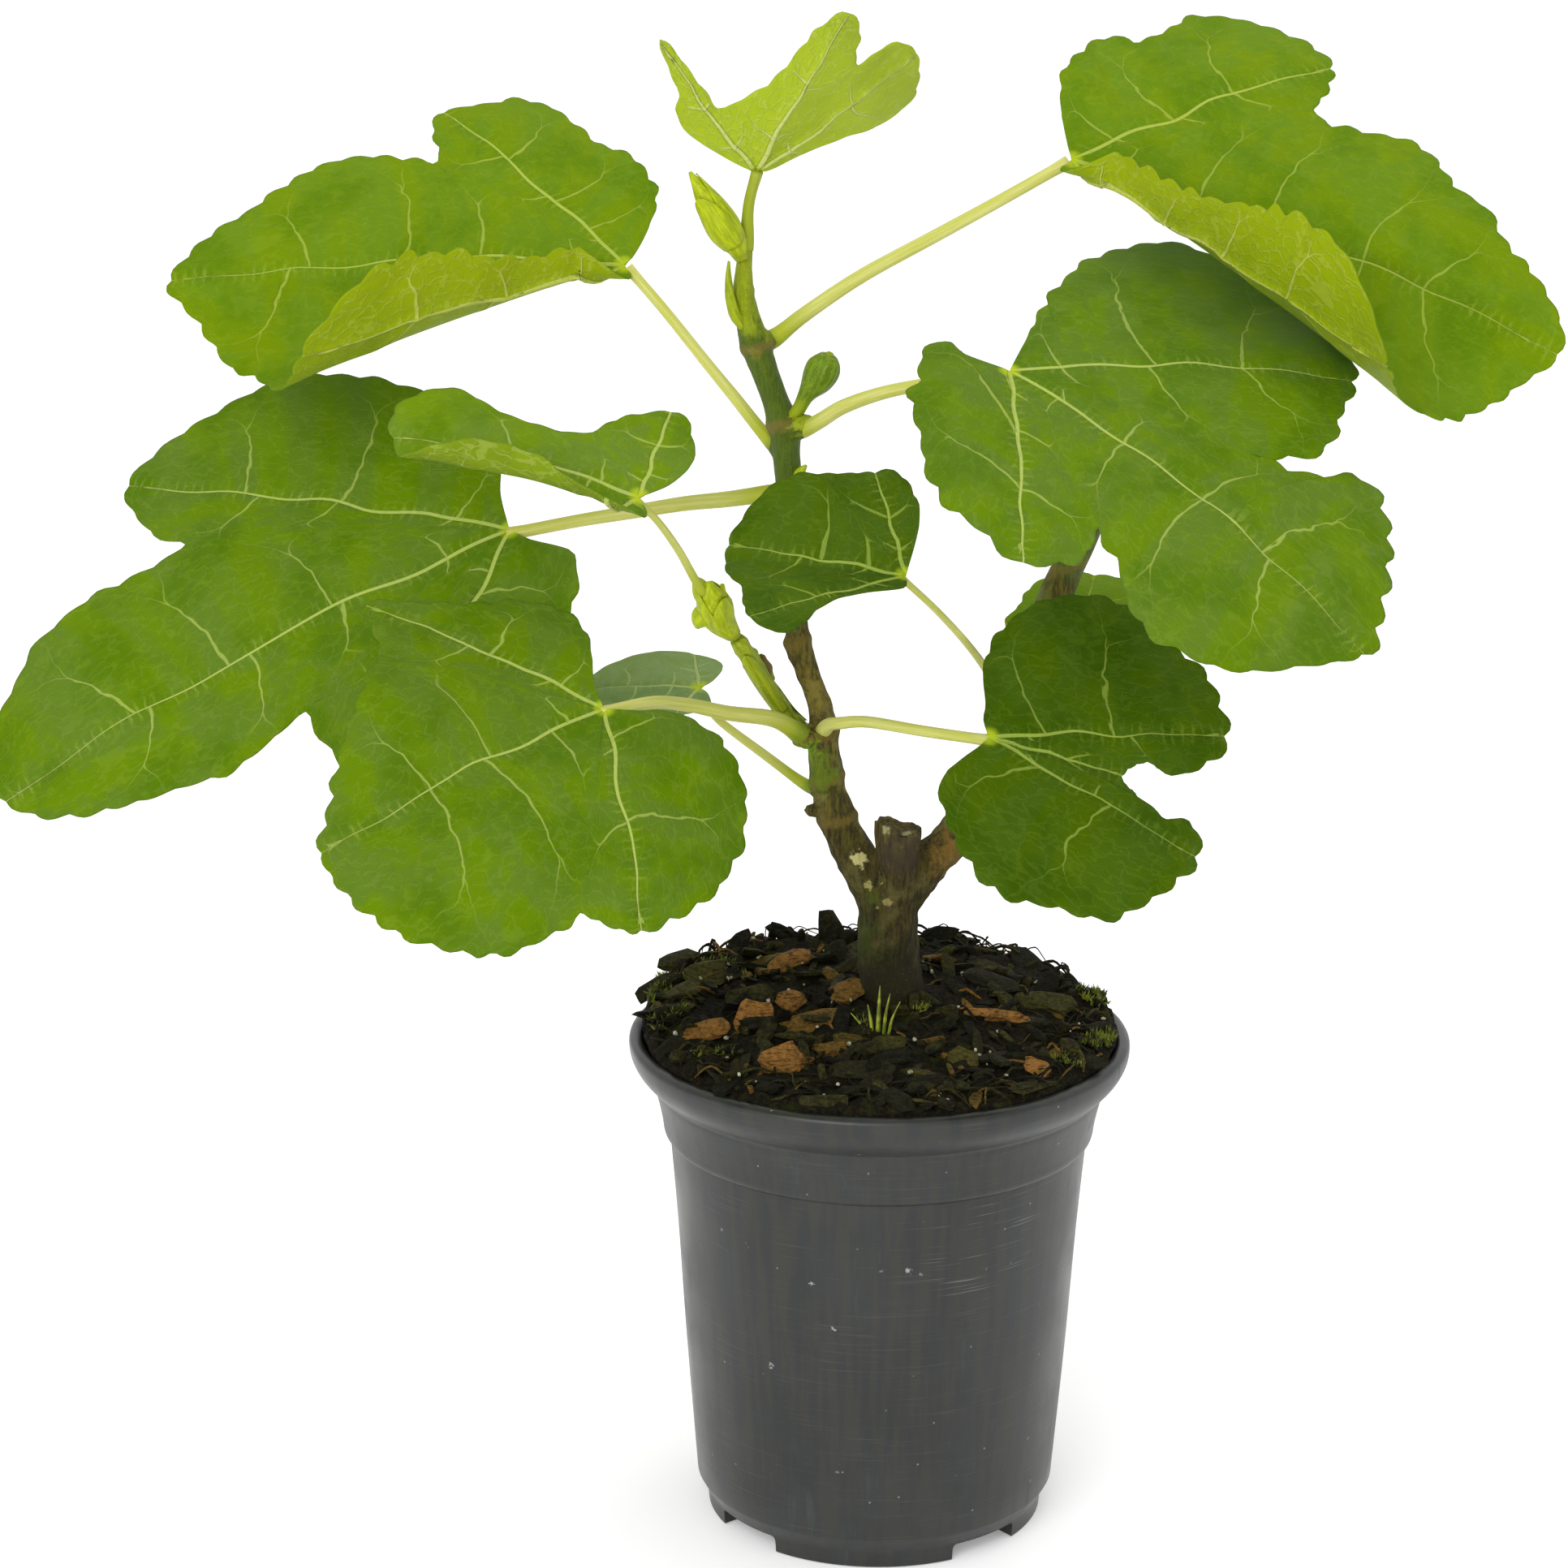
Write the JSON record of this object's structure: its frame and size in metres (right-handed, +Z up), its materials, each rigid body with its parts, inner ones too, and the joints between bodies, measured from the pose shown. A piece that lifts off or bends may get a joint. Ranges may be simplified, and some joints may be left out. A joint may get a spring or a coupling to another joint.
{
  "type": "potted fig plant",
  "caption": "Young fig plant with broad lobed leaves on pale stalks, a forked woody stem with a sawn-off stub, and a green fruit, standing in a dark round nursery pot filled with bark mix.",
  "frame": {"origin": "on the surface that the pot's feet stand on, under the middle of the whole plant's bounding box; the pot's axis is at x = 29.1 mm, y = 24.1 mm", "axes": "+Z up, along the pot's axis; -Y towards the viewer of the picture; +X to the viewer's right"},
  "size_m": [0.3917, 0.1931, 0.3958],
  "materials": {
    "dark_plastic": "satin, with faint scuffs",
    "bark_mix": "rough",
    "bark": "rough bark",
    "green_shoot": "soft satin",
    "bud_green": "soft satin",
    "fig_green": "soft satin",
    "leaf_crown": "soft, downy",
    "leaf_upper": "soft satin",
    "leaf_middle": "soft satin",
    "leaf_shaded": "soft satin",
    "petiole": "soft satin"
  },
  "bodies": {
    "root": {"pot": "dark_plastic", "potting_mix": "bark_mix", "stem": "bark", "side_shoot": "green_shoot", "side_bud": "bud_green", "crown_bud": "bud_green", "axil_bud": "bud_green", "stipule": "green_shoot", "young_fig": "fig_green", "blade_crown": "leaf_crown", "blade_upper_left": "leaf_upper", "blade_upper_right": "leaf_upper", "blade_left": "leaf_middle", "blade_folded_left": "leaf_middle", "blade_lower_left": "leaf_middle", "blade_right": "leaf_middle", "blade_centre": "leaf_shaded", "blade_lower_right": "leaf_shaded", "blade_back_left": "leaf_shaded", "blade_back_right": "leaf_shaded", "stalk_crown": "petiole", "stalk_upper_left": "petiole", "stalk_upper_right": "petiole", "stalk_left": "petiole", "stalk_folded_left": "petiole", "stalk_lower_left": "petiole", "stalk_centre": "petiole", "stalk_right": "petiole", "stalk_lower_right": "petiole", "stalk_back_left": "petiole", "stalk_back_right": "petiole"}
  },
  "joints": []
}
